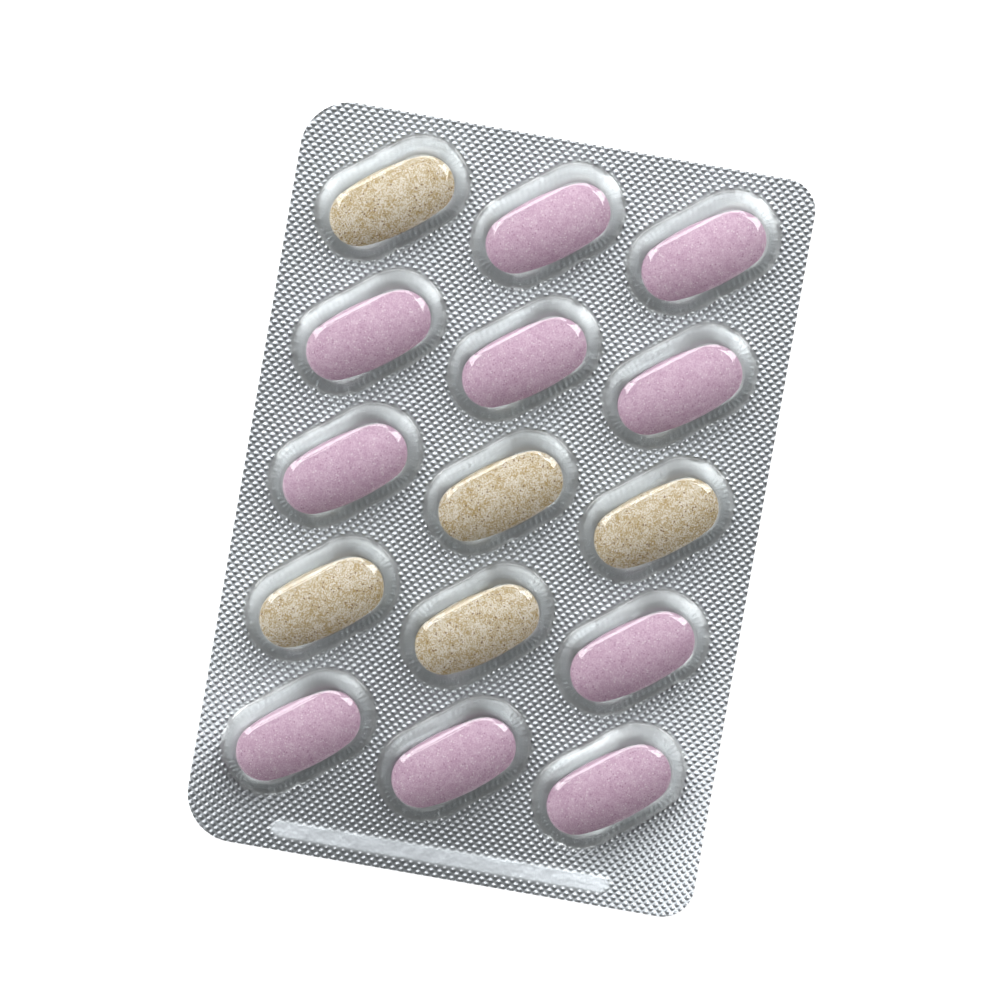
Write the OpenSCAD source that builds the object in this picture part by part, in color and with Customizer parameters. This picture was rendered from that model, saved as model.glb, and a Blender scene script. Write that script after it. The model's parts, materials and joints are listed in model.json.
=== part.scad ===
// Blister pack of fifteen oblong tablets: a clear thermoformed film with slanted pockets,
// sealed all over its flat web to an aluminium lidding foil. It lies on the foil, pockets up.
// X runs across the card, Y along it, and the origin is under the card's centre.

/* [Tablets] */
// Length of a tablet
tablet_l = 19.05; // [12:0.05:24]
// Width of a tablet
tablet_w = 9.5; // [6:0.1:11]
// Thickness of a tablet over both domed faces
tablet_t = 6.4; // [4:0.1:8]
// Height of the straight band around a tablet
tablet_band = 2.6; // [1:0.1:3]
// How much less than half its width a tablet's end radius is, which bows its sides
tablet_bow = 0.55; // [0.2:0.05:1]
// Angle of the tablets to their pockets
tablet_skew = -2; // [-2:0.5:2]
// How far a tablet has slid down the card in its pocket
tablet_slide = 0.3; // [0:0.05:0.3]
// Running gap between a tablet and the foil that it lies on
tablet_rest_gap = 0.02; // [0.01:0.01:0.1]

/* [Pockets] */
// Number of pockets across the card
cols = 3; // [1:1:5]
// Number of pockets along the card
rows = 5; // [1:1:8]
// Angle of the pockets to the card's width
pocket_turn = 37.5; // [30:0.5:45]
// Clearance between a tablet's band and the pocket wall
side_gap = 0.4; // [0.4:0.05:1.5]
// Clearance between a tablet's crown and the pocket roof
top_gap = 0.25; // [0.1:0.05:1]
// Draft of the pocket wall from upright, in degrees
draft = 16.5; // [5:0.5:25]
// Outer radius of the shoulder between wall and roof
shoulder_r = 1.6; // [0.6:0.1:2]
// Radius of the foot between wall and flat web
foot_r = 0.35; // [0.2:0.05:0.8]
// Flat web between pockets that are neighbours across the card
col_web = 2.44; // [1:0.02:6]
// Flat web between pockets that are neighbours along the card
row_web = 1.9; // [1:0.02:6]

/* [Card] */
// Flat web between the pockets and the left edge
left_margin = 3.7; // [2:0.1:10]
// Flat web between the pockets and the right edge
right_margin = 4.2; // [2:0.1:10]
// Flat web between the pockets and the top edge
top_margin = 2.8; // [2:0.1:10]
// Flat web between the pockets and the bottom edge, which carries the plain strip
bottom_margin = 7.75; // [2:0.05:15]
// Radius of the two corners on the left long edge, in plan
left_corner_r = 7.2; // [1:0.1:9]
// Radius of the two corners on the right long edge, in plan
right_corner_r = 4.7; // [1:0.1:9]
// Thickness of the clear film
film_t = 0.25; // [0.15:0.01:0.4]
// Thickness of the lidding foil
foil_t = 0.03; // [0.02:0.01:0.1]

/* [Hidden] */
$fn = 64;
pink_rgb = [0.70, 0.61, 0.68];
tan_rgb = [0.72, 0.66, 0.57];
// Row and column of each tan tablet, counted from the card's top left
tan_places = [[1, 1], [3, 2], [3, 3], [4, 1], [4, 2]];

// Heights above the surface that the card lies on
film_z = foil_t;
web_z = film_z + film_t;
tablet_z = foil_t + tablet_rest_gap;
band_top_z = tablet_z + (tablet_t + tablet_band) / 2;
roof_z = tablet_z + tablet_t + top_gap + film_t;

// Half of the distance between the centres of a pocket's round ends
reach = (tablet_l - tablet_w) / 2;
// Outer radius of the pocket where its wall's line meets the web
foot_line_r = tablet_w / 2 + side_gap + film_t / cos(draft) + (band_top_z - web_z) * tan(draft);
// Centres of the foot and shoulder arcs, as radius and height
foot_c = [foot_line_r + foot_r * (1 - sin(draft)) / cos(draft), web_z + foot_r];
shoulder_z = roof_z - shoulder_r;
shoulder_c = [foot_line_r - (shoulder_r + (shoulder_z - web_z) * sin(draft)) / cos(draft), shoulder_z];
// Radius of a pocket's mouth, where its foot runs out into the flat web
pocket_r = foot_c[0];

// Spacing of slanted pockets that leaves a web between them, in a direction at an angle to their length
function pitch(angle, web) =
    let (across = 2 * pocket_r + web, beside = across / sin(angle))
    beside * cos(angle) <= 2 * reach
        ? beside
        : 2 * reach * cos(angle) + sqrt(pow(across, 2) - pow(2 * reach * sin(angle), 2));
col_pitch = pitch(pocket_turn, col_web);
row_pitch = pitch(90 - pocket_turn, row_web);

pocket_span_x = 2 * (reach * cos(pocket_turn) + pocket_r);
pocket_span_y = 2 * (reach * sin(pocket_turn) + pocket_r);
card_w = (cols - 1) * col_pitch + pocket_span_x + left_margin + right_margin;
card_l = (rows - 1) * row_pitch + pocket_span_y + top_margin + bottom_margin;

function pocket_place(row, col) = [
    left_margin - card_w / 2 + pocket_span_x / 2 + (col - 1) * col_pitch,
    card_l / 2 - top_margin - pocket_span_y / 2 - (row - 1) * row_pitch
];
function tablet_name(row, col) = str("tablet_r", row, "_c", col);

// What is cut off the card at a corner that is rounded to radius r, with the corner at the origin
module corner_scrap(r) {
    difference() {
        square(r);
        translate([r, r])
            circle(r = r);
    }
}

module card_outline() {
    difference() {
        square([card_w, card_l], center = true);
        for (side = [0, 1], end = [0, 1])
            mirror([side, 0])
                mirror([0, end])
                    translate([-card_w / 2, -card_l / 2])
                        corner_scrap(side == 0 ? left_corner_r : right_corner_r);
    }
}

// The space under a pocket's surface, from its centre line out to the foot. A skin of 0 gives the
// outer surface, and a skin of film_t the hollow, whose arcs have the same centres.
module pocket_section(skin) {
    outward = [cos(draft), sin(draft)];
    top_z = roof_z - skin;
    foot_arc_r = foot_r + skin;
    round_r = shoulder_r - skin;
    corner = [shoulder_c[0] + round_r * (1 - sin(draft)) / cos(draft), top_z];
    difference() {
        polygon([
            [0, film_z],
            [pocket_r, film_z],
            foot_c,
            foot_c - foot_arc_r * outward,
            corner,
            [0, top_z]
        ]);
        translate(foot_c)
            circle(r = foot_arc_r);
        translate(shoulder_c)
            difference() {
                polygon([[0, 0], 2 * round_r * outward, 2 * round_r * [1, 1], [0, 2 * round_r]]);
                circle(r = round_r);
            }
    }
}

// The film's own section through a pocket wall: foot, drafted wall, shoulder and roof
module film_section() {
    difference() {
        pocket_section(0);
        pocket_section(film_t);
    }
}

// The film of one pocket at the origin along X: the section turned round both ends and run
// along both sides
module pocket_film() {
    for (side = [0, 180])
        rotate([0, 0, side]) {
            translate([reach, 0, 0])
                rotate([0, 0, -90])
                    rotate_extrude(angle = 180)
                        film_section();
            translate([-reach, 0, 0])
                rotate([90, 0, 90])
                    linear_extrude(2 * reach)
                        film_section();
        }
}

// Where a pocket rises out of the flat web
module pocket_mouth() {
    for (side = [0, 1])
        mirror([0, side])
            translate([-reach, 0])
                square([2 * reach, pocket_r]);
    for (side = [-1, 1])
        translate([side * reach, 0])
            circle(r = pocket_r);
}

module blister_film() {
    color([0.86, 0.89, 0.91, 0.45]) {
        translate([0, 0, film_z])
            linear_extrude(film_t)
                difference() {
                    card_outline();
                    for (row = [1 : rows], col = [1 : cols])
                        translate(pocket_place(row, col))
                            rotate(pocket_turn)
                                pocket_mouth();
                }
        for (row = [1 : rows], col = [1 : cols])
            translate(pocket_place(row, col))
                rotate([0, 0, pocket_turn])
                    pocket_film();
    }
}

module lidding_foil() {
    color([0.72, 0.74, 0.77])
        linear_extrude(foil_t)
            card_outline();
}

// A tablet's outline: two end circles joined by two shallow side arcs that they are tangent to
module tablet_outline() {
    end_r = tablet_w / 2 - tablet_bow;
    end_x = tablet_l / 2 - end_r;
    side_r = (pow(end_x, 2) + pow(tablet_w / 2, 2) - pow(end_r, 2)) / (2 * tablet_bow);
    side_y = side_r - tablet_w / 2;
    meet = side_r / (side_r - end_r);
    intersection() {
        translate([0, -side_y])
            circle(r = side_r, $fn = 256);
        translate([0, side_y])
            circle(r = side_r, $fn = 256);
        square([2 * meet * end_x, 2 * tablet_w], center = true);
    }
    for (side = [-1, 1])
        translate([side * end_x, 0])
            circle(r = end_r);
}

// A barrel whose round back is the domed face, with its crown touching Z = 0 from below
module tablet_dome() {
    rise = (tablet_t - tablet_band) / 2;
    across_r = (pow(tablet_w / 2, 2) + pow(rise, 2)) / (2 * rise);
    along_r = (pow(tablet_l / 2, 2) + pow(rise, 2)) / (2 * rise);
    translate([0, 0, -across_r])
        rotate([0, 90, 0])
            rotate_extrude()
                intersection() {
                    translate([across_r - along_r, 0])
                        circle(r = along_r, $fn = 256);
                    translate([0, -tablet_l])
                        square([2 * across_r, 2 * tablet_l]);
                }
}

module tablet(row, col) {
    is_tan = len(search([[row, col]], tan_places, 0)[0]) > 0;
    color(is_tan ? tan_rgb : pink_rgb)
        translate(concat(pocket_place(row, col) - [0, tablet_slide], tablet_z))
            rotate([0, 0, pocket_turn + tablet_skew])
                intersection() {
                    linear_extrude(tablet_t)
                        tablet_outline();
                    translate([0, 0, tablet_t])
                        tablet_dome();
                    mirror([0, 0, 1])
                        tablet_dome();
                }
}

blister_film();
lidding_foil();
for (row = [1 : rows], col = [1 : cols])
    tablet(row, col);
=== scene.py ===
# %% [markdown]
# # A blister pack of oblong tablets
# This lesson dresses a push-through pack: a clear film with slanted pockets, a knurled foil
# behind it, and a pressed tablet in every pocket. The solids are already made and arrive as a
# fixed frame, in metres, with the card lying on its foil and Z up. Nothing in the frame is moved.
# Each piece that is remade here takes its place and size from the frame.

# %% Load the frame
import json
import math

import bpy
from mathutils import Matrix, Vector
from mathutils.geometry import delaunay_2d_cdt


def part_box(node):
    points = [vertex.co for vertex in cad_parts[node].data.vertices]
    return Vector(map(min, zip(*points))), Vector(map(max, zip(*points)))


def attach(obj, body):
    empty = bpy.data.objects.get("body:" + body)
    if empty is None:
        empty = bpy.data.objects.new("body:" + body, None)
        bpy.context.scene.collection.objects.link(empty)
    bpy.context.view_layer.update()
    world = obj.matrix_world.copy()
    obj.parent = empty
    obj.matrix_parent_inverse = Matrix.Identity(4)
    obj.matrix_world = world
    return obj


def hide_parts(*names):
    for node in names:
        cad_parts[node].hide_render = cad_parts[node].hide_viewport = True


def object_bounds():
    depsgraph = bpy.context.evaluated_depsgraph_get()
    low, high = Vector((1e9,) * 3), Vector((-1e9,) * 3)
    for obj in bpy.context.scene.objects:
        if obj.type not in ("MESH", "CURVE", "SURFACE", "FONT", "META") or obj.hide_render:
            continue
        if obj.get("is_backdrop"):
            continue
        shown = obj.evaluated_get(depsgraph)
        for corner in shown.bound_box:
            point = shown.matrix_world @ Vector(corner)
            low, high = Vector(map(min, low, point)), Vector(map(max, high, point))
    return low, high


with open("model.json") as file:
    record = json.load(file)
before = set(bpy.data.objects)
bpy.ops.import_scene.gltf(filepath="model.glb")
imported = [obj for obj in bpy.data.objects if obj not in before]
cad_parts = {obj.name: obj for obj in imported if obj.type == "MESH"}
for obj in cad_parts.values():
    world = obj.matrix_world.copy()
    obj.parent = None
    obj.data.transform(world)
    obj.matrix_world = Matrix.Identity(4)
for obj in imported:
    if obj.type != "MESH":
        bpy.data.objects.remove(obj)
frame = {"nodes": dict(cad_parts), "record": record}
cad_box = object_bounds()
MM = 0.001
print("nodes", len(frame["nodes"]), "card", [round(s / MM, 2) for s in cad_box[1] - cad_box[0]], "mm")

# %% [markdown]
# ## The camera
# The card was seen from almost straight above with a long lens, turned a little clockwise. A card
# on a table could be turned under a level camera, but here the frame must stay, so the camera is
# turned instead. The size of a millimetre in the picture and the place of the card's centre set
# the lens and the camera's place. The picture is taken to be 1000 pixels wide. The camera leans a
# few degrees to the card's top, which shifts the pockets' roofs against their mouths.

# %% Place the camera
PICTURE = 1000
PIXELS_PER_MM = 6.905
CARD_TURN = math.radians(10.0)
CARD_CENTRE = Vector((499.5, 509.4))
CAMERA_HEIGHT = 1.4
LEAN = math.radians(4.5)
LEAN_TOWARDS = math.radians(107.0)
SENSOR = 36.0


def make_camera():
    """A camera above the card whose picture has the card's centre and turn where they belong."""
    data = bpy.data.cameras.new("camera")
    data.sensor_width = SENSOR
    data.lens = CAMERA_HEIGHT / MM * PIXELS_PER_MM * SENSOR / PICTURE
    data.clip_start = 0.1
    data.clip_end = 20.0
    camera = bpy.data.objects.new("camera", data)
    bpy.context.scene.collection.objects.link(camera)
    centre = (cad_box[0] + cad_box[1]) / 2
    centre.z = 0.0
    off = (CARD_CENTRE - Vector((PICTURE / 2, PICTURE / 2))) * MM / PIXELS_PER_MM
    right = Vector((math.cos(CARD_TURN), math.sin(CARD_TURN), 0.0))
    up = Vector((-math.sin(CARD_TURN), math.cos(CARD_TURN), 0.0))
    aim = centre - right * off.x + up * off.y
    out = Vector((math.cos(LEAN_TOWARDS), math.sin(LEAN_TOWARDS), 0.0))
    back = out * math.sin(LEAN) + Vector((0.0, 0.0, math.cos(LEAN)))
    side = up.cross(back).normalized()
    above = back.cross(side)
    turn = Matrix((side, above, back)).transposed().to_4x4()
    camera.matrix_world = Matrix.Translation(aim + back * CAMERA_HEIGHT) @ turn
    return camera


bpy.context.scene.camera = make_camera()
bpy.context.scene.view_settings.view_transform = "Standard"
print("lens", round(bpy.context.scene.camera.data.lens), "mm")

# %% [markdown]
# ## Sizes that the frame doesn't tell
# The frame's boxes give the card, the sheets' heights and every tablet's place. The section of a
# pocket isn't in a box, so its few sizes are named here: wall draft, the two arcs, the gap to the
# tablet. A designer would keep them in the drawing, and they are the same here as there.

# %% Name the sizes
film_low, film_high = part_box("blister_film")
FOIL_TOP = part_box("lidding_foil")[1].z
FILM_T = 0.25 * MM
WEB_TOP = FOIL_TOP + FILM_T
ROOF = film_high.z
LEFT_CORNER_R = 7.2 * MM
RIGHT_CORNER_R = 4.7 * MM
POCKET_TURN = math.radians(37.5)
REACH = 4.775 * MM
DRAFT = math.radians(16.5)
FOOT_R = 0.35 * MM
SHOULDER_R = 1.6 * MM
SIDE_GAP = 0.4 * MM
TABLET_L, TABLET_W, TABLET_T = 19.05 * MM, 9.5 * MM, 6.4 * MM
TABLET_BAND, TABLET_BOW = 2.6 * MM, 0.55 * MM
TABLET_TURN = POCKET_TURN - math.radians(2.0)
TABLET_SLIDE = Vector((0.0, -0.3 * MM))
print("roof at", round(ROOF / MM, 2), "mm, web top at", round(WEB_TOP / MM, 2), "mm")


# %% Find the pocket's arcs
def pocket_arcs():
    """Centres of the foot and shoulder arcs in a pocket's section, as radius and height."""
    band_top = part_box("tablet_r1_c1")[0].z + (TABLET_T + TABLET_BAND) / 2
    film_across = FILM_T / math.cos(DRAFT)
    wall_foot = TABLET_W / 2 + SIDE_GAP + film_across + (band_top - WEB_TOP) * math.tan(DRAFT)
    foot_out = FOOT_R * (1 - math.sin(DRAFT)) / math.cos(DRAFT)
    shoulder_z = ROOF - SHOULDER_R
    inset = (SHOULDER_R + (shoulder_z - WEB_TOP) * math.sin(DRAFT)) / math.cos(DRAFT)
    return Vector((wall_foot + foot_out, WEB_TOP + FOOT_R)), Vector((wall_foot - inset, shoulder_z))


FOOT_C, SHOULDER_C = pocket_arcs()
print("foot arc at radius", round(FOOT_C.x / MM, 3), "mm, shoulder at", round(SHOULDER_C.x / MM, 3), "mm")

# %% Find the places
tablet_nodes = sorted(name for name in frame["nodes"] if name.startswith("tablet_"))
tablet_places = {}
for name in tablet_nodes:
    low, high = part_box(name)
    tablet_places[name] = ((low + high) / 2).to_2d()
pocket_places = [tablet_places[name] - TABLET_SLIDE for name in tablet_nodes]
print("pockets", len(pocket_places), "first at", [round(c / MM, 2) for c in pocket_places[0]], "mm")

# %% [markdown]
# ## Small helpers
# Node trees are built in the script, so one function adds a node, sets what it is told and links
# any input that is given as another node's socket. A few more name the nodes that come back often.
# The others make a mesh object from lists and turn a modifier's result into a plain mesh, because
# a finished piece carries no modifier.

# %% Define the node helpers
def add(tree, kind, settings=None, inputs=None):
    """Adds a node. Inputs are values or sockets, by name or number."""
    node = tree.nodes.new(kind)
    for key, value in (settings or {}).items():
        setattr(node, key, value)
    for key, value in (inputs or {}).items():
        if isinstance(value, bpy.types.NodeSocket):
            tree.links.new(value, node.inputs[key])
        else:
            node.inputs[key].default_value = value
    return node


def maths(tree, operation, *values):
    """A Math node's result."""
    return add(tree, "ShaderNodeMath", {"operation": operation}, dict(enumerate(values))).outputs[0]


def ramp(tree, value, low, high, start=0.0, end=1.0, smooth=False):
    """Start where the value is at low or under it, end at high or over it, and between in between."""
    kind = {"interpolation_type": "SMOOTHSTEP" if smooth else "LINEAR"}
    ends = {"Value": value, "From Min": low, "From Max": high, "To Min": start, "To Max": end}
    return add(tree, "ShaderNodeMapRange", kind, ends).outputs[0]


def noise(tree, place, scale, detail):
    """Smooth noise about a half."""
    inputs = {"Vector": place, "Scale": scale, "Detail": detail}
    return add(tree, "ShaderNodeTexNoise", None, inputs).outputs["Fac"]


def mix(tree, share, first, second):
    """A colour that goes from the first to the second as the share goes from 0 to 1."""
    inputs = {"Factor": share, 6: first, 7: second}
    return add(tree, "ShaderNodeMix", {"data_type": "RGBA"}, inputs).outputs[2]


print("a helper for any node, and", len((maths, ramp, noise, mix)), "for common ones")


# %% Define the material helpers
def new_material(name):
    """A material, its node tree and its Principled shader."""
    made = bpy.data.materials.new(name)
    made.use_nodes = True
    return made, made.node_tree, made.node_tree.nodes["Principled BSDF"]


def bump(tree, shader, height, distance, strength=1.0):
    """Tilts the shader's normals as the height rises and falls."""
    inputs = {"Height": height, "Strength": strength, "Distance": distance}
    tilted = add(tree, "ShaderNodeBump", None, inputs).outputs["Normal"]
    tree.links.new(tilted, shader.inputs["Normal"])


finishes = {}
print("finishes so far", len(finishes))


# %% Define the mesh helpers
def mesh_object(name, points, faces, finish=None, edges=()):
    mesh = bpy.data.meshes.new(name)
    mesh.from_pydata(points, edges, faces)
    mesh.update()
    if finish:
        mesh.materials.append(finish)
    made = bpy.data.objects.new(name, mesh)
    bpy.context.scene.collection.objects.link(made)
    return made


def bake(made):
    """Puts the evaluated mesh in the object's place and takes its modifiers off."""
    graph = bpy.context.evaluated_depsgraph_get()
    result = bpy.data.meshes.new_from_object(made.evaluated_get(graph), depsgraph=graph)
    result.name = made.name
    made.modifiers.clear()
    made.data = result


def shade(made, smooth_slope=math.radians(50.0)):
    """Shades a piece smooth where its faces nearly line up."""
    made.data.shade_smooth()
    made.data.set_sharp_from_angle(angle=smooth_slope)


def triangles(made):
    return sum(len(face.vertices) - 2 for face in made.data.polygons)


# %% [markdown]
# ## The clear film's finish
# The film is thin, so light goes through it with no visible bend, and what makes it seen is the
# light that it throws back: a few per cent face on, and most of it at a grazing angle. A glass
# shader would bend and darken what lies inside. Here the surface is a mirror that is nearly
# transparent face on and closes up towards the edge, by Schlick's rule on the Facing value, which
# is the same for both sides of the sheet. A pocket's wall is stretched when it is formed, which
# leaves it hazier than the roof, with faint streaks round the pocket. A mask on height finds the
# wall.

# %% Make the film material
FILM_TINT = (0.96, 0.99, 0.98, 1.0)
FACE_ON_SHINE = 0.045
ROOF_ROUGHNESS = 0.055
WALL_HAZE = 0.16
WALL_FOOT = (0.4 * MM, 0.9 * MM)
WALL_TOP = (4.2 * MM, 5.7 * MM)
STREAK_SCALE = 800.0
STREAK_EDGES = (0.45, 0.68)
STREAK_SHINE = 0.28
STREAK_DEPTH = 0.14 * MM
STREAK_STRETCH = (0.14, 0.14, 1.0)


def film_material():
    made, tree, shader = new_material("clear_film")
    shader.inputs["Base Color"].default_value = FILM_TINT
    shader.inputs["Metallic"].default_value = 1.0
    place = add(tree, "ShaderNodeTexCoord").outputs["Object"]
    height = add(tree, "ShaderNodeSeparateXYZ", None, {0: place}).outputs[2]
    over_foot = ramp(tree, height, *WALL_FOOT, 0.0, 1.0, smooth=True)
    under_top = ramp(tree, height, *WALL_TOP, 1.0, 0.0, smooth=True)
    on_wall = maths(tree, "MULTIPLY", over_foot, under_top)
    hazy = maths(tree, "MULTIPLY_ADD", on_wall, WALL_HAZE, ROOF_ROUGHNESS)
    tree.links.new(hazy, shader.inputs["Roughness"])
    drawn = add(tree, "ShaderNodeVectorMath", {"operation": "MULTIPLY"}, {0: place, 1: STREAK_STRETCH})
    lines = noise(tree, drawn.outputs[0], STREAK_SCALE, 3.0)
    facing = add(tree, "ShaderNodeLayerWeight", None, {"Blend": 0.5}).outputs["Facing"]
    grazing = maths(tree, "POWER", facing, 5.0)
    gloss = maths(tree, "MULTIPLY_ADD", grazing, 1.0 - FACE_ON_SHINE, FACE_ON_SHINE)
    streak = ramp(tree, lines, *STREAK_EDGES, 0.0, STREAK_SHINE)
    tree.links.new(maths(tree, "MULTIPLY_ADD", streak, on_wall, gloss), shader.inputs["Alpha"])
    bump(tree, shader, maths(tree, "MULTIPLY", lines, on_wall), STREAK_DEPTH)
    made.use_transparent_shadow = True
    return made


finishes["clear_film"] = film_material()
print("film material", len(finishes["clear_film"].node_tree.nodes), "nodes")

# %% [markdown]
# ## The foil's finish
# Hard aluminium foil is a bright metal whose gloss varies a little. The knurl is real geometry
# further down, but with four faces to a pyramid it would flash like cut glass, so a bump of crossed
# cosine waves on the same lattice rounds each tip. The same bump carries the gentle warp of a card
# that has lain about, with its lower corners up. Two attributes of the mesh say where the foil is
# plain, in the pockets, and where it looks frosted, in the strip that isn't sealed to the film.

# %% Draw the foil's heights
KNURL_PITCH = 0.88 * MM
KNURL_HEIGHT = 0.14 * MM
CORNER_CURL = 7.5 * MM / KNURL_HEIGHT
BOTTOM_DROOP = 2.2 * MM / KNURL_HEIGHT
STRIP_FOLDS = 1.4


def round_tips(tree, axes):
    """Rounded tips on a diagonal lattice, from 0 in the valleys to 1."""
    swells = []
    for operation in ("ADD", "SUBTRACT"):
        along = maths(tree, operation, axes[0], axes[1])
        turns = maths(tree, "MULTIPLY", along, math.tau / KNURL_PITCH / math.sqrt(2))
        swells.append(maths(tree, "MULTIPLY_ADD", maths(tree, "COSINE", turns), -0.5, 0.5))
    return maths(tree, "MULTIPLY", *swells)


def card_warp(tree, axes):
    """The card's lower corners curl up and the middle of its bottom edge droops, in knurl heights."""
    across = maths(tree, "DIVIDE", axes[0], cad_box[1].x)
    down = maths(tree, "DIVIDE", maths(tree, "MINIMUM", axes[1], 0.0), cad_box[1].y)
    corner = maths(tree, "POWER", maths(tree, "ABSOLUTE", maths(tree, "MULTIPLY", across, down)), 2.0)
    middle = maths(tree, "SUBTRACT", 1.0, maths(tree, "MULTIPLY", across, across))
    sunk = maths(tree, "MULTIPLY", maths(tree, "MULTIPLY", down, down), BOTTOM_DROOP)
    droop = maths(tree, "MULTIPLY", sunk, middle)
    return maths(tree, "SUBTRACT", maths(tree, "MULTIPLY", corner, CORNER_CURL), droop)


print("knurl pitch", round(KNURL_PITCH / MM, 2), "mm, height", round(KNURL_HEIGHT / MM, 2), "mm")

# %% Make the foil material
KNURL_COLOUR = (0.43, 0.455, 0.478, 1.0)
PLAIN_COLOUR = (0.54, 0.565, 0.575, 1.0)
FROSTED_COLOUR = (0.80, 0.85, 0.89, 1.0)
KNURL_ROUGHNESS = 0.39
PLAIN_ROUGHNESS = 0.3
FROST_ROUGHNESS = 0.2
FROST_METAL = -0.4
HAZE = 0.08
HAZE_SCALE = 260.0
FOLD_SCALE = 520.0


def foil_material():
    made, tree, shader = new_material("foil")
    place = add(tree, "ShaderNodeTexCoord").outputs["Object"]
    axes = add(tree, "ShaderNodeSeparateXYZ", None, {0: place}).outputs
    plain = add(tree, "ShaderNodeAttribute", {"attribute_name": "plain"}).outputs["Fac"]
    frosted = add(tree, "ShaderNodeAttribute", {"attribute_name": "frosted"}).outputs["Fac"]
    colour = mix(tree, frosted, mix(tree, plain, KNURL_COLOUR, PLAIN_COLOUR), FROSTED_COLOUR)
    tree.links.new(colour, shader.inputs["Base Color"])
    tree.links.new(maths(tree, "MULTIPLY_ADD", frosted, FROST_METAL, 1.0), shader.inputs["Metallic"])
    spread = maths(tree, "MULTIPLY_ADD", plain, PLAIN_ROUGHNESS - KNURL_ROUGHNESS, KNURL_ROUGHNESS)
    matt = maths(tree, "MULTIPLY_ADD", frosted, FROST_ROUGHNESS, spread)
    uneven = maths(tree, "MULTIPLY_ADD", noise(tree, place, HAZE_SCALE, 3.0), HAZE, -HAZE / 2)
    tree.links.new(maths(tree, "ADD", matt, uneven), shader.inputs["Roughness"])
    pressed = maths(tree, "MULTIPLY", round_tips(tree, axes), maths(tree, "SUBTRACT", 1.0, plain))
    folds = maths(tree, "MULTIPLY", noise(tree, place, FOLD_SCALE, 2.0), frosted)
    wrinkled = maths(tree, "MULTIPLY_ADD", folds, STRIP_FOLDS, pressed)
    bump(tree, shader, maths(tree, "ADD", wrinkled, card_warp(tree, axes)), KNURL_HEIGHT)
    return made


finishes["foil"] = foil_material()
print("foil material", len(finishes["foil"].node_tree.nodes), "nodes")

# %% [markdown]
# ## The tablets' finish
# A tablet is powder pressed in a die. Close up it is a mosaic of grains: most lie between two
# colours, a few are darker, a few are pale, with tiny pits between them. Noise alone would make
# clouds, so Voronoi cells give each grain its own tone. Two tablets of different colours share
# that make-up, so it is one node group with colours and amounts as inputs, used by two materials.

# %% Make the pressed powder group
GRAIN_COLOURS = ("Ground", "Mottle", "Dark grain", "Pale grain")
GRAIN_NUMBERS = ("Dark amount", "Pale amount", "Grain scale", "Softness")
BLOTCH_SCALE = 700.0
BLOTCH_WEIGHT = 1.2
BLEND_MIDDLE = 0.5 + BLOTCH_WEIGHT / 2
LONE_GRAINS = (("Dark grain", "Dark amount", 3000.0), ("Pale grain", "Pale amount", 3600.0))
GRAIN_CORE = 0.42
PIT = 0.15


def cell_tones(tree, place, scale):
    """A Voronoi texture's cells and three random tones for each."""
    cells = add(tree, "ShaderNodeTexVoronoi", None, {"Vector": place, "Scale": scale})
    return cells, add(tree, "ShaderNodeSeparateColor", None, {"Color": cells.outputs["Color"]}).outputs


def lone_grain(tree, place, scale, amount):
    """A mask of the given share of a Voronoi texture's cells, without their borders."""
    cells, tones = cell_tones(tree, place, scale)
    chosen = maths(tree, "LESS_THAN", tones[0], amount)
    core = maths(tree, "LESS_THAN", cells.outputs["Distance"], GRAIN_CORE)
    return maths(tree, "MULTIPLY", chosen, core)


def powder_group():
    """Colour and Height of pressed powder, from a ground colour and two kinds of lone grain."""
    tree = bpy.data.node_groups.new("pressed_powder", "ShaderNodeTree")
    for names, kind in ((GRAIN_COLOURS, "Color"), (GRAIN_NUMBERS, "Float")):
        for name in names:
            tree.interface.new_socket(name, in_out="INPUT", socket_type="NodeSocket" + kind)
    tree.interface.new_socket("Color", in_out="OUTPUT", socket_type="NodeSocketColor")
    tree.interface.new_socket("Height", in_out="OUTPUT", socket_type="NodeSocketFloat")
    given = tree.nodes.new("NodeGroupInput").outputs
    place = add(tree, "ShaderNodeTexCoord").outputs["Object"]
    tone = cell_tones(tree, place, given["Grain scale"])[1][1]
    blend = maths(tree, "MULTIPLY_ADD", noise(tree, place, BLOTCH_SCALE, 3.0), BLOTCH_WEIGHT, tone)
    low = maths(tree, "SUBTRACT", BLEND_MIDDLE, given["Softness"])
    high = maths(tree, "ADD", BLEND_MIDDLE, given["Softness"])
    colour = mix(tree, ramp(tree, blend, low, high), given["Ground"], given["Mottle"])
    height = tone
    for grain, amount, scale in LONE_GRAINS:
        mask = lone_grain(tree, place, scale, given[amount])
        colour = mix(tree, mask, colour, given[grain])
        height = maths(tree, "SUBTRACT", height, maths(tree, "MULTIPLY", mask, PIT))
    out = tree.nodes.new("NodeGroupOutput")
    tree.links.new(colour, out.inputs["Color"])
    tree.links.new(height, out.inputs["Height"])
    return tree


powder = powder_group()
print("powder group", len(powder.nodes), "nodes")

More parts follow.
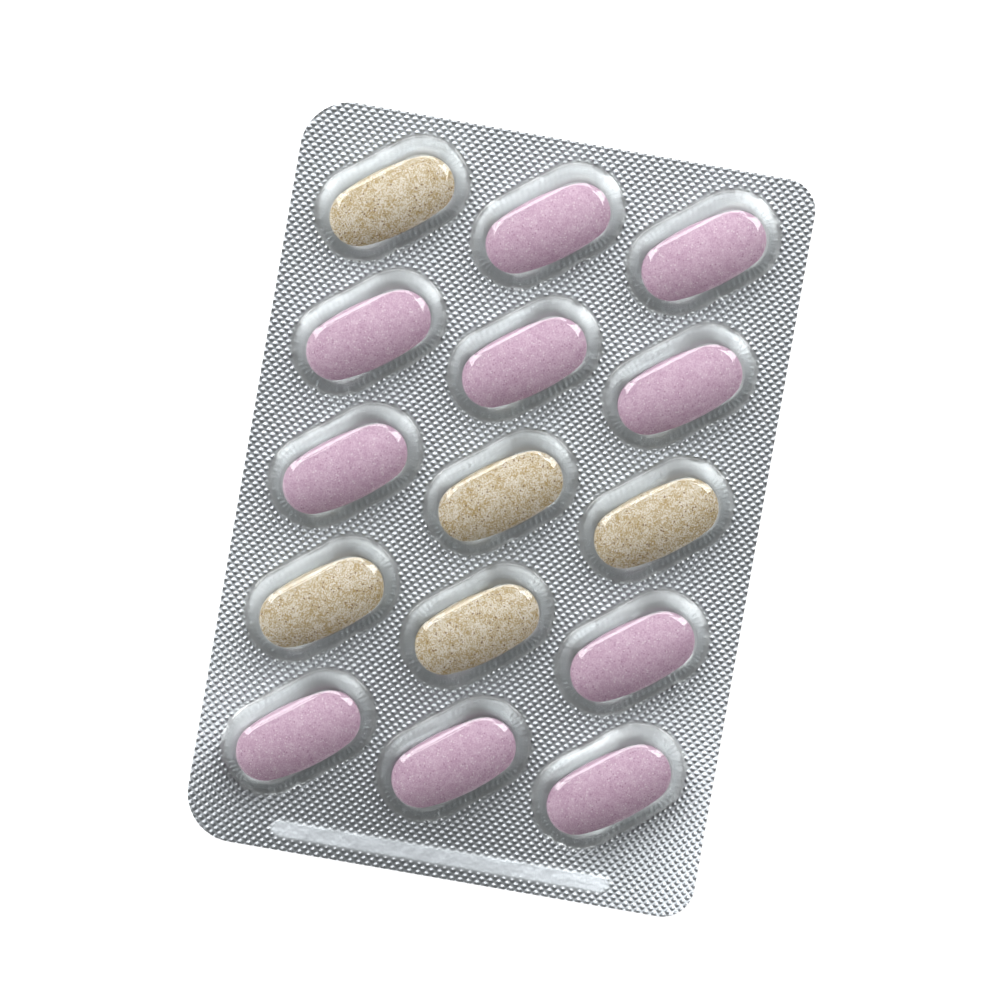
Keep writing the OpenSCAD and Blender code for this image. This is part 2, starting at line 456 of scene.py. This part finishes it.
# %% Make the two tablet materials
TABLET_COLOURS = {
    "pink_tablet": {
        "Ground": (0.375, 0.225, 0.32, 1.0),
        "Mottle": (0.50, 0.36, 0.45, 1.0),
        "Dark grain": (0.32, 0.18, 0.27, 1.0),
        "Pale grain": (0.56, 0.46, 0.52, 1.0),
        "Dark amount": 0.10,
        "Pale amount": 0.10,
        "Grain scale": 6500.0,
        "Softness": 0.5,
    },
    "tan_tablet": {
        "Ground": (0.31, 0.215, 0.07, 1.0),
        "Mottle": (0.57, 0.53, 0.445, 1.0),
        "Dark grain": (0.16, 0.09, 0.04, 1.0),
        "Pale grain": (0.62, 0.58, 0.52, 1.0),
        "Dark amount": 0.08,
        "Pale amount": 0.12,
        "Grain scale": 7000.0,
        "Softness": 0.38,
    },
}
POWDER_ROUGHNESS = 0.62
POWDER_RELIEF = 0.06 * MM
RELIEF_STRENGTH = 0.35


def tablet_material(name):
    made, tree, shader = new_material(name)
    pressed = add(tree, "ShaderNodeGroup", {"node_tree": powder}, TABLET_COLOURS[name]).outputs
    tree.links.new(pressed["Color"], shader.inputs["Base Color"])
    bump(tree, shader, pressed["Height"], POWDER_RELIEF, RELIEF_STRENGTH)
    shader.inputs["Roughness"].default_value = POWDER_ROUGHNESS
    return made


for name in TABLET_COLOURS:
    finishes[name] = tablet_material(name)
print("finishes", sorted(finishes))

# %% [markdown]
# ## The plan of the card
# Film and foil are sealed between plates with a diamond knurl, which presses small pyramids into
# them. A bump map would show that only face on, so the knurl is in the mesh. The card's plan is
# cut into triangles once: the knurl's own lattice of tips and valleys, the card's edge, and the
# mouths of the pockets. Constrained Delaunay triangulation keeps the edges and the valley lines,
# so that every pyramid has its four sides.

# %% Draw a pocket's outline
END_STEPS = 22
SIDE_STEPS = 10


def stadium(radius):
    """Points round a pocket at the origin along X, at a distance from its centre line."""
    points = []
    for side in (1, -1):
        for step in range(END_STEPS):
            angle = -math.pi / 2 + math.pi * step / END_STEPS
            x = REACH + radius * math.cos(angle)
            points.append(Vector((side * x, side * radius * math.sin(angle))))
        for step in range(SIDE_STEPS):
            x = REACH - 2 * REACH * step / SIDE_STEPS
            points.append(Vector((side * x, side * radius)))
    return points


def placed(point, place):
    """A point of the pocket at the origin, at another pocket's place and turn."""
    return place + Matrix.Rotation(POCKET_TURN, 2) @ point


mouth_lines = [[placed(p, place) for p in stadium(FOOT_C.x)] for place in pocket_places]
print("mouth points", len(mouth_lines[0]))

# %% Draw the card's edge
EDGE_STEP = 0.3 * MM
CORNERS = (
    (film_low.x, film_low.y, LEFT_CORNER_R, 180.0),
    (film_high.x, film_low.y, RIGHT_CORNER_R, 270.0),
    (film_high.x, film_high.y, RIGHT_CORNER_R, 0.0),
    (film_low.x, film_high.y, LEFT_CORNER_R, 90.0),
)


def card_edge():
    """The card's outline, anticlockwise, in short steps."""
    middle = ((film_low + film_high) / 2).to_2d()
    turns = []
    for x, y, radius, start in CORNERS:
        centre = Vector((x, y))
        centre += Vector((radius if x < middle.x else -radius, radius if y < middle.y else -radius))
        steps = round(radius * math.pi / 2 / EDGE_STEP)
        for step in range(steps + 1):
            angle = math.radians(start + 90.0 * step / steps)
            turns.append(centre + radius * Vector((math.cos(angle), math.sin(angle))))
    points = []
    for here, there in zip(turns, turns[1:] + turns[:1]):
        steps = max(1, round((there - here).length / EDGE_STEP))
        points += [here.lerp(there, step / steps) for step in range(steps)]
    return points


edge_line = card_edge()
print("edge points", len(edge_line))


# %% Measure in the plan
def near_pocket(point):
    """Distance of a point of the plan from the nearest pocket's centre line."""
    found = []
    for place in pocket_places:
        local = Matrix.Rotation(-POCKET_TURN, 2) @ (point - place)
        found.append(math.hypot(max(abs(local.x) - REACH, 0.0), local.y))
    return min(found)


def inside_card(point, margin):
    """True if the point lies inside the card's edge by at least the margin."""
    radius = LEFT_CORNER_R if point.x < 0 else RIGHT_CORNER_R
    half = (film_high - film_low).to_2d() / 2
    local = point - ((film_low + film_high) / 2).to_2d()
    beyond = Vector((abs(local.x) - half.x + radius, abs(local.y) - half.y + radius))
    if beyond.x > 0 and beyond.y > 0:
        return beyond.length < radius - margin
    return max(beyond) < radius - margin


print("card's middle to a centre line", round(near_pocket(Vector((0.0, 0.0))) / MM, 2), "mm")

# %% Lay out the knurl's lattice
POINT_GAP = 0.12 * MM


def lattice():
    """Points of the knurl between the card's edge and the mouths, and the lines of its valleys."""
    half_step = KNURL_PITCH / 2 / math.sqrt(2)
    reach = int((film_high.x + film_high.y) / half_step / 2) + 2
    span = range(-reach, reach + 1)
    spots = [(i, j) for i in span for j in span if (i + j) % 2 == 0]
    number = {}
    points = []
    for i, j in spots:
        point = Vector(((i + j) * half_step, (i - j) * half_step))
        if inside_card(point, POINT_GAP) and near_pocket(point) > FOOT_C.x + POINT_GAP:
            number[i, j] = len(points)
            points.append(point)
    lines = []
    for i, j in number:
        if i % 2 == 0:
            ends = [other for other in ((i + 2, j), (i, j + 2)) if other in number]
            lines += [(number[i, j], number[other]) for other in ends]
    return points, lines


lattice_points, valley_lines = lattice()
print("lattice points", len(lattice_points), "valley lines", len(valley_lines))

# %% Cut the plan into triangles
BULGE_FROM = 1.8 * MM
BULGE_STEPS = 7
MOUTH_SLACK = 0.02 * MM
SAME_POINT = 1e-9


def floor_points():
    """Rings of points on the foil inside each pocket, for its bulge round the tablet."""
    radii = [BULGE_FROM + (FOOT_C.x - BULGE_FROM) * step / BULGE_STEPS for step in range(BULGE_STEPS)]
    return [placed(p, place) for place in pocket_places for r in radii for p in stadium(r)[::2]]


def plan():
    """The points of the plan, the triangles of the web and the triangles under the pockets."""
    points, lines = list(lattice_points), list(valley_lines)
    for loop in [edge_line] + mouth_lines:
        start = len(points)
        points += loop
        lines += [(start + k, start + (k + 1) % len(loop)) for k in range(len(loop))]
    points += floor_points()
    found, _, faces, *_ = delaunay_2d_cdt(points, lines, [], 0, SAME_POINT)
    found = [Vector(p) for p in found]
    web, under = [], []
    for face in faces:
        middle = sum((found[k] for k in face), Vector((0.0, 0.0))) / 3
        if inside_card(middle, 0.0):
            in_web = near_pocket(middle) > FOOT_C.x - MOUTH_SLACK
            (web if in_web else under).append(tuple(face))
    return found, web, under


plan_points, open_faces, pocket_faces = plan()
print("plan points", len(plan_points), "web", len(open_faces), "under pockets", len(pocket_faces))

# %% [markdown]
# ## Two sheets from one plan
# Each sheet is the plan twice, an upper face and a lower face, joined along the card's edge. The
# two faces carry an attribute that says how high the knurl lifts them: the foil is pressed right
# through, so both its faces get the full height, while the film's upper face stays almost flat.
# The film's lower face is sunk a hundredth of a millimetre into the foil, as the seal holds them.

# %% Build the flat sheets
FILM_RELIEF = 0.02 * MM
SEAL = 0.01 * MM


def edge_pairs(faces):
    """The triangles' free edges, in the direction of their face."""
    free = {}
    for face in faces:
        for k in range(3):
            a, b = face[k], face[(k + 1) % 3]
            if (b, a) in free:
                del free[b, a]
            else:
                free[a, b] = True
    return list(free)


def sheet(name, finish, faces, upper, lower, upper_lift, lower_lift):
    """A closed sheet over the given triangles of the plan, open only at the pockets' mouths."""
    used = sorted({k for face in faces for k in face})
    number = {k: n for n, k in enumerate(used)}
    count = len(used)
    points = [(*plan_points[k], z) for z in (upper, lower) for k in used]
    top = [tuple(number[k] for k in face) for face in faces]
    bottom = [tuple(count + k for k in reversed(face)) for face in top]
    rim = []
    for a, b in edge_pairs(top):
        middle = (Vector(points[a][:2]) + Vector(points[b][:2])) / 2
        if not inside_card(middle, MOUTH_SLACK):
            rim.append((b, a, a + count, b + count))
    made = mesh_object(name, points, top + bottom + rim, finish)
    layer = made.data.attributes.new("lift", "FLOAT", "POINT")
    layer.data.foreach_set("value", [upper_lift] * count + [lower_lift] * count)
    return made


whole = open_faces + pocket_faces
foil = sheet("knurled_foil", finishes["foil"], whole, FOIL_TOP, 0.0, KNURL_HEIGHT, KNURL_HEIGHT)
low_face = FOIL_TOP - SEAL
film = sheet("knurled_film", finishes["clear_film"], open_faces, WEB_TOP, low_face, FILM_RELIEF, KNURL_HEIGHT)
print("foil", triangles(foil), "film web", triangles(film), "triangles")

# %% [markdown]
# ## Geometry Nodes trees
# Two trees follow, so what both need comes first: the group with its named inputs, the last nodes,
# which make copies real and put the finish on, and a function that hangs a tree on an object. A
# modifier's inputs are set by the sockets' identifiers, which don't change if a name does.

# %% Define the tree helpers
def new_geometry_tree(name, inputs):
    tree = bpy.data.node_groups.new(name, "GeometryNodeTree")
    tree.interface.new_socket("Geometry", in_out="INPUT", socket_type="NodeSocketGeometry")
    for label, kind in inputs.items():
        tree.interface.new_socket(label, in_out="INPUT", socket_type="NodeSocket" + kind)
    tree.interface.new_socket("Geometry", in_out="OUTPUT", socket_type="NodeSocketGeometry")
    return tree, tree.nodes.new("NodeGroupInput").outputs


def end_tree(tree, geometry, finish):
    """The last nodes of every tree: all copies made real, and the finish on them."""
    real = add(tree, "GeometryNodeRealizeInstances", None, {0: geometry}).outputs[0]
    dressed = add(tree, "GeometryNodeSetMaterial", None, {"Geometry": real, "Material": finish})
    tree.links.new(dressed.outputs[0], tree.nodes.new("NodeGroupOutput").inputs[0])


def use_tree(made, tree, values):
    """Puts the tree on the object and sets its inputs by name."""
    modifier = made.modifiers.new(tree.name, "NODES")
    modifier.node_group = tree
    for item in tree.interface.items_tree:
        if item.item_type == "SOCKET" and item.in_out == "INPUT" and item.name in values:
            modifier[item.identifier] = values[item.name]


print("node groups so far", len(bpy.data.node_groups))

# %% [markdown]
# ## The knurl
# Geometry Nodes lift the lattice: two triangle waves along the diagonals, and at each point the
# lower of the two, give a field of square pyramids. The knurl stops short of each pocket, where
# the sealing plate has a hole, and leaves a plain strip near the bottom edge. Distance to the
# pockets' centre lines and to the strip's line masks it there. Under a pocket the loose foil
# bulges a little round the tablet, and in the strip it is wrinkled.

# %% Draw the lines that the knurl keeps off
SEAL_BORDER = FOOT_C.x
STRIP_START = 14.3 * MM
STRIP_END = 61.3 * MM
STRIP_UP = 3.3 * MM
STRIP_HALF = 1.2 * MM


def line_object(name, pairs):
    """Loose edges in the plan, one for each pair of ends."""
    points = [(*end, 0.0) for pair in pairs for end in pair]
    return mesh_object(name, points, [], edges=[(2 * k, 2 * k + 1) for k in range(len(pairs))])


centre_ends = [Vector((side * REACH, 0.0)) for side in (-1, 1)]
centre_lines = [[placed(end, place) for end in centre_ends] for place in pocket_places]
strip_ends = [(film_low.x + along, film_low.y + STRIP_UP) for along in (STRIP_START, STRIP_END)]
pocket_lines = line_object("pocket_lines", centre_lines)
strip_line = line_object("strip_line", [strip_ends])
print("centre lines", len(centre_lines), "strip", round((STRIP_END - STRIP_START) / MM, 1), "mm long")


# %% Define the knurl's parts
def line_distance(tree, line, flat):
    """Distance in the plan from each point to the nearest line."""
    target = add(tree, "GeometryNodeObjectInfo", None, {"Object": line}).outputs["Geometry"]
    inputs = {0: target, "Sample Position": flat}
    near = add(tree, "GeometryNodeProximity", {"target_element": "EDGES"}, inputs)
    return near.outputs["Distance"]


def pyramids(tree, axes, pitch):
    """Square pyramids on a diagonal lattice, from 0 in the valleys to 1."""
    waves = []
    for operation in ("ADD", "SUBTRACT"):
        along = maths(tree, operation, axes[0], axes[1])
        turns = maths(tree, "DIVIDE", along, maths(tree, "MULTIPLY", pitch, math.sqrt(2)))
        centred = maths(tree, "MULTIPLY_ADD", maths(tree, "FRACT", turns), 2.0, -1.0)
        waves.append(maths(tree, "SUBTRACT", 1.0, maths(tree, "ABSOLUTE", centred)))
    return maths(tree, "MINIMUM", *waves)


def note(tree, geometry, label, mask):
    """Stores how far a mask is from 1, for the material to read."""
    inputs = {"Geometry": geometry, "Name": label, "Value": maths(tree, "SUBTRACT", 1.0, mask)}
    settings = {"data_type": "FLOAT", "domain": "POINT"}
    return add(tree, "GeometryNodeStoreNamedAttribute", settings, inputs).outputs[0]


print("pyramids in a square centimetre", round((0.01 / KNURL_PITCH) ** 2))

# %% Build the knurl tree
KNURL_INPUTS = {
    "Pitch": "Float",
    "Pocket lines": "Object",
    "Pocket border": "Float",
    "Strip line": "Object",
    "Strip border": "Float",
    "Fade": "Float",
    "Wrinkle height": "Float",
    "Bulge from": "Float",
    "Bulge height": "Float",
    "Finish": "Material",
}
WRINKLE_SCALE = 420.0


def knurl_tree():
    tree, given = new_geometry_tree("knurl", KNURL_INPUTS)
    place = add(tree, "GeometryNodeInputPosition").outputs[0]
    axes = add(tree, "ShaderNodeSeparateXYZ", None, {0: place}).outputs
    flat = add(tree, "ShaderNodeCombineXYZ", None, {0: axes[0], 1: axes[1]}).outputs[0]
    masks = []
    for line, border in (("Pocket lines", "Pocket border"), ("Strip line", "Strip border")):
        beyond = maths(tree, "SUBTRACT", line_distance(tree, given[line], flat), given[border])
        masks.append(ramp(tree, beyond, 0.0, given["Fade"]))
    sealed = maths(tree, "MULTIPLY", *masks)
    lift = add(tree, "GeometryNodeInputNamedAttribute", {"data_type": "FLOAT"}, {"Name": "lift"}).outputs[0]
    tips = maths(tree, "MULTIPLY", pyramids(tree, axes, given["Pitch"]), sealed)
    in_strip = maths(tree, "MULTIPLY", maths(tree, "SUBTRACT", 1.0, masks[1]), given["Wrinkle height"])
    ripple = maths(tree, "MULTIPLY", noise(tree, flat, WRINKLE_SCALE, 3.0), in_strip)
    near = line_distance(tree, given["Pocket lines"], flat)
    inwards = ramp(tree, near, given["Bulge from"], given["Pocket border"], 0.0, math.pi)
    bulge = maths(tree, "MULTIPLY", maths(tree, "SINE", inwards), given["Bulge height"])
    raised = maths(tree, "ADD", maths(tree, "MULTIPLY_ADD", tips, lift, ripple), bulge)
    offset = add(tree, "ShaderNodeCombineXYZ", None, {2: raised}).outputs[0]
    inputs = {"Geometry": given["Geometry"], "Offset": offset}
    moved = add(tree, "GeometryNodeSetPosition", None, inputs).outputs[0]
    noted = note(tree, note(tree, moved, "plain", sealed), "frosted", masks[1])
    end_tree(tree, noted, given["Finish"])
    return tree


knurl = knurl_tree()
print("knurl tree", len(knurl.nodes), "nodes")

# %% [markdown]
# ## One pocket of film
# A pocket is blown into the warm film by air and a plug, so its wall is smooth, drafted, and runs
# into the web and the roof in round arcs. It could be lofted by hand, but its section is known, so
# the section's points are swept round the pocket's centre line: once for the outer face and once,
# a film thickness further in, for the hollow.

# %% Draw the pocket's section
FOOT_STEPS = 3
WALL_STEPS = 4
ROUND_STEPS = 7
ROOF_STEPS = 2


def arc_point(centre, radius, angle):
    return centre + radius * Vector((math.cos(angle), math.sin(angle)))


def section(skin):
    """Radius and height of the pocket's surface, from its mouth to the middle of its roof."""
    points = []
    start, end = math.radians(270.0), math.pi + DRAFT
    for step in range(FOOT_STEPS + 1):
        points.append(arc_point(FOOT_C, FOOT_R + skin, start + (end - start) * step / FOOT_STEPS))
    wall_top = arc_point(SHOULDER_C, SHOULDER_R - skin, DRAFT)
    points += [points[-1].lerp(wall_top, step / WALL_STEPS) for step in range(1, WALL_STEPS)]
    for step in range(ROUND_STEPS + 1):
        angle = DRAFT + (math.pi / 2 - DRAFT) * step / ROUND_STEPS
        points.append(arc_point(SHOULDER_C, SHOULDER_R - skin, angle))
    top = points[-1].y
    for step in range(1, ROOF_STEPS + 1):
        points.append(Vector((SHOULDER_C.x * (1 - step / ROOF_STEPS), top)))
    return points


print("section points", len(section(0.0)))


# %% Sweep the section
def pocket_shell():
    """The film of one pocket at the origin, open at its mouth, with both faces pointing outwards."""
    points, faces = [], []
    around = len(stadium(1.0))
    for skin, lowered, outward in ((0.0, 0.0, True), (FILM_T, SEAL, False)):
        rings = section(skin)
        start = len(points)
        for n, (radius, height) in enumerate(rings):
            z = height - (lowered if n == 0 else 0.0)
            points += [(*p, z) for p in stadium(radius)]
        for n in range(len(rings) - 1):
            for k in range(around):
                a, b = start + n * around + k, start + n * around + (k + 1) % around
                quad = (a, b, b + around, a + around)
                faces.append(quad if outward else quad[::-1])
    return mesh_object("pocket", points, faces, finishes["clear_film"])


pocket = pocket_shell()
print("pocket", triangles(pocket), "triangles")

# %% [markdown]
# ## Fifteen pockets in the web
# Every pocket is the same form from the same tool, so one shell is instanced on a point for each
# pocket, turned, made real and welded to the web at its mouth. The weld comes before the knurl,
# which leaves the mouths where they are. Both sheets then go through the knurl tree, the film with
# no bulge, and become plain meshes.

# %% Build the pockets tree
POCKET_INPUTS = {
    "Places": "Object",
    "Pocket": "Object",
    "Turn": "Float",
    "Weld distance": "Float",
    "Finish": "Material",
}


def pockets_tree():
    tree, given = new_geometry_tree("pockets", POCKET_INPUTS)
    places, shell = (
        add(tree, "GeometryNodeObjectInfo", None, {"Object": given[name]}).outputs["Geometry"]
        for name in ("Places", "Pocket")
    )
    turn = add(tree, "ShaderNodeCombineXYZ", None, {2: given["Turn"]}).outputs[0]
    inputs = {"Points": places, "Instance": shell, "Rotation": turn}
    copies = add(tree, "GeometryNodeInstanceOnPoints", None, inputs).outputs[0]
    joined = tree.nodes.new("GeometryNodeJoinGeometry")
    real = add(tree, "GeometryNodeRealizeInstances", None, {0: copies}).outputs[0]
    tree.links.new(real, joined.inputs[0])
    tree.links.new(given["Geometry"], joined.inputs[0])
    inputs = {"Geometry": joined.outputs[0], "Distance": given["Weld distance"]}
    welded = add(tree, "GeometryNodeMergeByDistance", None, inputs).outputs[0]
    end_tree(tree, welded, given["Finish"])
    return tree


place_points = mesh_object("pocket_places", [(*place, 0.0) for place in pocket_places], [])
pocket_values = {
    "Places": place_points,
    "Pocket": pocket,
    "Turn": POCKET_TURN,
    "Weld distance": 0.004 * MM,
    "Finish": finishes["clear_film"],
}
use_tree(film, pockets_tree(), pocket_values)
print("pockets tree", len(bpy.data.node_groups["pockets"].nodes), "nodes")

# %% Press the knurl and bake both sheets
FOIL_BULGE = 0.33 * MM
knurl_values = {
    "Pitch": KNURL_PITCH,
    "Pocket lines": pocket_lines,
    "Pocket border": SEAL_BORDER,
    "Strip line": strip_line,
    "Strip border": STRIP_HALF,
    "Fade": 0.15 * MM,
    "Wrinkle height": 0.08 * MM,
    "Bulge from": BULGE_FROM,
}
use_tree(film, knurl, {**knurl_values, "Bulge height": 0.0, "Finish": finishes["clear_film"]})
use_tree(foil, knurl, {**knurl_values, "Bulge height": FOIL_BULGE, "Finish": finishes["foil"]})
for made in (film, foil):
    bake(made)
    shade(made)
for made in (place_points, pocket, pocket_lines, strip_line):
    bpy.data.objects.remove(made)
print("film", triangles(film), [m.name for m in film.data.materials])
print("foil", triangles(foil), [m.name for m in foil.data.materials])

# %% [markdown]
# ## The tablets
# A tablet is pressed between two cupped punches in an oblong die, which leaves a straight band
# round its middle and a domed face above and below. The dome is a barrel: curved across the
# tablet and, more gently, along it. Each is swept from the outline inwards, with the sharp edge
# of the band broken by a hair, as handling leaves it.

# %% Draw the tablet's outline and dome
OUTLINE_STEPS = 96


def tablet_outline():
    """Two end arcs and two shallow side arcs that run into each other."""
    end_r = TABLET_W / 2 - TABLET_BOW
    end_x = TABLET_L / 2 - end_r
    side_r = (end_x**2 + (TABLET_W / 2) ** 2 - end_r**2) / (2 * TABLET_BOW)
    side_y = side_r - TABLET_W / 2
    swing = math.atan2(side_y, end_x)
    arcs = (
        (Vector((end_x, 0.0)), end_r, -swing, swing),
        (Vector((0.0, -side_y)), side_r, swing, math.pi - swing),
        (Vector((-end_x, 0.0)), end_r, math.pi - swing, math.pi + swing),
        (Vector((0.0, side_y)), side_r, math.pi + swing, 2 * math.pi - swing),
    )
    steps = OUTLINE_STEPS // 4
    points = []
    for centre, radius, start, end in arcs:
        points += [arc_point(centre, radius, start + (end - start) * k / steps) for k in range(steps)]
    return points


def dome(x, y):
    """Height of the domed face over the tablet's mid plane."""
    rise = (TABLET_T - TABLET_BAND) / 2
    across_r = ((TABLET_W / 2) ** 2 + rise**2) / (2 * rise)
    along_r = ((TABLET_L / 2) ** 2 + rise**2) / (2 * rise)
    barrel_r = across_r - along_r + math.sqrt(along_r**2 - x**2)
    return TABLET_T / 2 - across_r + math.sqrt(barrel_r**2 - y**2)


print("half height at the middle", round(dome(0.0, 0.0) / MM, 3), "mm")

# %% Define a tablet
CAP_RINGS = 12
EDGE_BREAK = 0.12 * MM
RING_SPREAD = 1.3


def tablet_rings():
    """Rings of points from the middle of one dome, over the band, to the middle of the other."""
    outline = tablet_outline()
    rim = 1 - EDGE_BREAK / (TABLET_W / 2)
    half = [[(p.x, p.y, dome(p.x * rim, p.y * rim) - EDGE_BREAK) for p in outline]]
    for step in range(CAP_RINGS):
        share = rim * (1 - (step / CAP_RINGS) ** RING_SPREAD)
        half.append([(p.x * share, p.y * share, dome(p.x * share, p.y * share)) for p in outline])
    return half[::-1] + [[(x, y, -z) for x, y, z in ring] for ring in half]


def tablet(name, place, middle_z, finish):
    rings = tablet_rings()
    count = len(rings[0])
    spin = Matrix.Rotation(TABLET_TURN, 2)
    points = []
    for ring in rings:
        for x, y, z in ring:
            points.append((*(place + spin @ Vector((x, y))), middle_z + z))
    faces = []
    for n in range(len(rings) - 1):
        for k in range(count):
            a, b = n * count + k, n * count + (k + 1) % count
            faces.append((b, a, a + count, b + count))
    faces.append(tuple(range(count)))
    last = (len(rings) - 1) * count
    faces.append(tuple(last + k for k in reversed(range(count))))
    made = mesh_object(name, points, faces, finish)
    shade(made)
    return made


print("rings", len(tablet_rings()))

# %% Build the tablets
materials_of = {part["node"]: part["material_slot"] for part in frame["record"]["subparts"]}
tablets = {}
for node in tablet_nodes:
    low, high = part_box(node)
    finish = finishes[materials_of[node]]
    tablets[node] = tablet("pressed_" + node, tablet_places[node], (low.z + high.z) / 2, finish)
print("tablets", len(tablets), "of", triangles(tablets[node]), "triangles")

# %% [markdown]
# ## Hand the pieces to the frame
# Every piece rides on the one body and stands for its solid.

# %% Ride and replace
for piece, node in [(film, "blister_film"), (foil, "lidding_foil")] + [(tablets[n], n) for n in tablet_nodes]:
    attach(piece, "root")
    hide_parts(node)
print("pieces handed over", 2 + len(tablets))

# %% [markdown]
# ## The floor
# The card lies on a plain white table. A white floor in soft light comes out pale grey, so it glows
# a little for the camera and for what mirrors it, and still keeps the card's shadow.

# %% Lay the floor
FLOOR_HALF = 3.0
FLOOR_DROP = 0.01 * MM
FLOOR_GLOW = 0.3
TABLE_WHITE = 0.9


def floor_material():
    made, tree, shader = new_material("white_table")
    shader.inputs["Base Color"].default_value = (TABLE_WHITE, TABLE_WHITE, TABLE_WHITE, 1.0)
    shader.inputs["Roughness"].default_value = 0.9
    shader.inputs["Emission Color"].default_value = (1.0, 1.0, 1.0, 1.0)
    path = add(tree, "ShaderNodeLightPath").outputs
    mirrored = maths(tree, "MAXIMUM", path["Is Glossy Ray"], path["Is Transmission Ray"])
    seen = maths(tree, "MAXIMUM", path["Is Camera Ray"], mirrored)
    tree.links.new(maths(tree, "MULTIPLY", seen, FLOOR_GLOW), shader.inputs["Emission Strength"])
    return made


signs = ((-1, -1), (1, -1), (1, 1), (-1, 1))
floor_corners = [(FLOOR_HALF * x, FLOOR_HALF * y, -FLOOR_DROP) for x, y in signs]
floor = mesh_object("floor", floor_corners, [(0, 1, 2, 3)], floor_material())
floor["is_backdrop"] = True
print("floor", 2 * FLOOR_HALF, "m wide")

# %% [markdown]
# ## Light
# Daylight comes from one side: a bright patch of sky beyond the card's top, two tall windows to
# its left and right, and a dim side at its foot, which is what gives the foil its contrast. They
# are area lights, so that they show in the film as small bright patches. The sky and the right
# window are near, so that the light falls off a little towards the card's lower left. The rest is
# the world, brighter towards the top left. What the camera sees past the floor is plain white.

# %% Hang the windows
# bearing and angle from straight up in degrees, distance, width and height in metres, glow
WINDOWS = {
    "left_window": (153.0, 52.0, 0.9, 0.26, 1.2, 4.6),
    "right_window": (47.0, 52.0, 0.5, 0.145, 0.7, 5.2),
    "top_left_sky": (108.0, 51.0, 0.6, 0.60, 0.38, 4.2),
}


def towards(azimuth, zenith):
    """Unit vector to a place in the room, by its bearing in the plan and its angle from straight up."""
    a, z = math.radians(azimuth), math.radians(zenith)
    return Vector((math.cos(a) * math.sin(z), math.sin(a) * math.sin(z), math.cos(z)))


def window(name, azimuth, zenith, distance, width, height, glow):
    """An area light that faces the card. Its glow is the brightness that its surface shows."""
    data = bpy.data.lights.new(name, "AREA")
    data.shape = "RECTANGLE"
    data.size = width
    data.size_y = height
    data.energy = glow * width * height * math.pi
    made = bpy.data.objects.new(name, data)
    bpy.context.scene.collection.objects.link(made)
    out = towards(azimuth, zenith)
    side = Vector((0.0, 0.0, 1.0)).cross(out).normalized()
    above = out.cross(side)
    turn = Matrix((side, above, out)).transposed().to_4x4()
    made.matrix_world = Matrix.Translation(out * distance) @ turn
    return made


for name, setting in WINDOWS.items():
    window(name, *setting)
print("windows", len(WINDOWS))

# %% Light the room
DIM_SIDE = 0.16
BRIGHT_SIDE = 0.42
BRIGHT_BEARING = 120.0
BRIGHT_ZENITH = 60.0
DIM_FROM = -0.2


def world_light():
    world = bpy.data.worlds.new("room")
    bpy.context.scene.world = world
    world.use_nodes = True
    tree = world.node_tree
    tree.nodes.clear()
    direction = add(tree, "ShaderNodeTexCoord").outputs["Generated"]
    inputs = {0: direction, 1: towards(BRIGHT_BEARING, BRIGHT_ZENITH)}
    nearness = add(tree, "ShaderNodeVectorMath", {"operation": "DOT_PRODUCT"}, inputs).outputs["Value"]
    level = ramp(tree, nearness, DIM_FROM, 1.0, DIM_SIDE, BRIGHT_SIDE, smooth=True)
    seen = add(tree, "ShaderNodeLightPath").outputs["Is Camera Ray"]
    inputs = {"Factor": seen, 2: level, 3: 1.0}
    strength = add(tree, "ShaderNodeMix", {"data_type": "FLOAT"}, inputs).outputs[0]
    inputs = {"Color": (1.0, 1.0, 1.0, 1.0), "Strength": strength}
    background = add(tree, "ShaderNodeBackground", None, inputs).outputs[0]
    tree.links.new(background, tree.nodes.new("ShaderNodeOutputWorld").inputs[0])


world_light()
cycles = bpy.context.scene.cycles
cycles.transparent_max_bounces = 12
cycles.max_bounces = 6
cycles.glossy_bounces = 3
cycles.diffuse_bounces = 3
print("room from", DIM_SIDE, "to", BRIGHT_SIDE)

# %% [markdown]
# ## Compare the sizes
# The dressed card must not outgrow its solids, so its box is measured again and the growth over the solids'
# box is printed.

# %% Print the growth
new_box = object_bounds()
growth = (new_box[1] - new_box[0]) - (cad_box[1] - cad_box[0])
print("grown by", [round(side / MM, 3) for side in growth], "mm")
